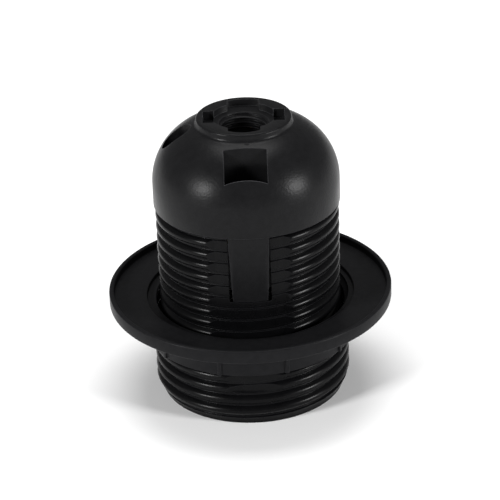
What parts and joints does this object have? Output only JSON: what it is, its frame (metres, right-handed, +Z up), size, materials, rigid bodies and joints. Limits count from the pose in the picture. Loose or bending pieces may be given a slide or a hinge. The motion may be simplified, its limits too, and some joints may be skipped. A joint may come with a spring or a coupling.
{
  "type": "lamp holder",
  "caption": "Black plastic screw lamp holder with a domed cap, threaded skirt, snap tongues and a loose shade ring.",
  "frame": {"origin": "centre of the skirt's lip, on the surface the holder stands on", "axes": "+Z up the holder's axis to the cable entry, -Y towards the front tongue, +X to its right"},
  "size_m": [0.0574, 0.0574, 0.0591],
  "materials": {
    "cap_plastic": "fine matte moulded, dark grey-black",
    "skirt_plastic": "smooth moulded, black, semi-gloss",
    "ring_plastic": "satin moulded, black",
    "carrier_plastic": "matte moulded, dark grey",
    "shell_metal": "rolled sheet, nickel plated",
    "contact_metal": "spring bronze, smooth",
    "terminal_brass": "machined brass",
    "screw_steel": "zinc plated",
    "rivet_metal": "formed brass"
  },
  "bodies": {
    "holder": {"skirt": "skirt_plastic", "contact_carrier": "carrier_plastic", "screw_shell": "shell_metal", "live_terminal": "terminal_brass", "neutral_terminal": "terminal_brass", "centre_contact_rivet": "rivet_metal", "neutral_rivet": "rivet_metal", "shell_rivet": "rivet_metal"},
    "cap": {"cap": "cap_plastic"},
    "shade_ring": {"shade_ring": "ring_plastic"},
    "centre_contact": {"centre_contact": "contact_metal"},
    "live_clamp_screw": {"live_clamp_screw": "screw_steel"},
    "neutral_clamp_screw": {"neutral_clamp_screw": "screw_steel"}
  },
  "joints": [
    {"name": "cap_lift", "type": "slide", "parent": "holder", "child": "cap", "axis": [0, 0, 1], "range_m": [0, 0.032]},
    {"name": "ring_lift", "type": "slide", "parent": "holder", "child": "shade_ring", "axis": [0, 0, 1], "range_m": [0, 0.048]},
    {"name": "contact_flex", "type": "hinge", "parent": "holder", "child": "centre_contact", "pos_m": [-0.0074, 0, 0.0285], "axis": [0, -1, 0], "range_deg": [0, 7], "stiffness_Nm_per_rad": 0.2},
    {"name": "live_screw_turn", "type": "hinge", "parent": "holder", "child": "live_clamp_screw", "pos_m": [-0.0125, 0, 0.0388], "axis": [1, 0, 0], "continuous": true},
    {"name": "neutral_screw_turn", "type": "hinge", "parent": "holder", "child": "neutral_clamp_screw", "pos_m": [0.0125, 0, 0.0388], "axis": [1, 0, 0], "continuous": true}
  ]
}
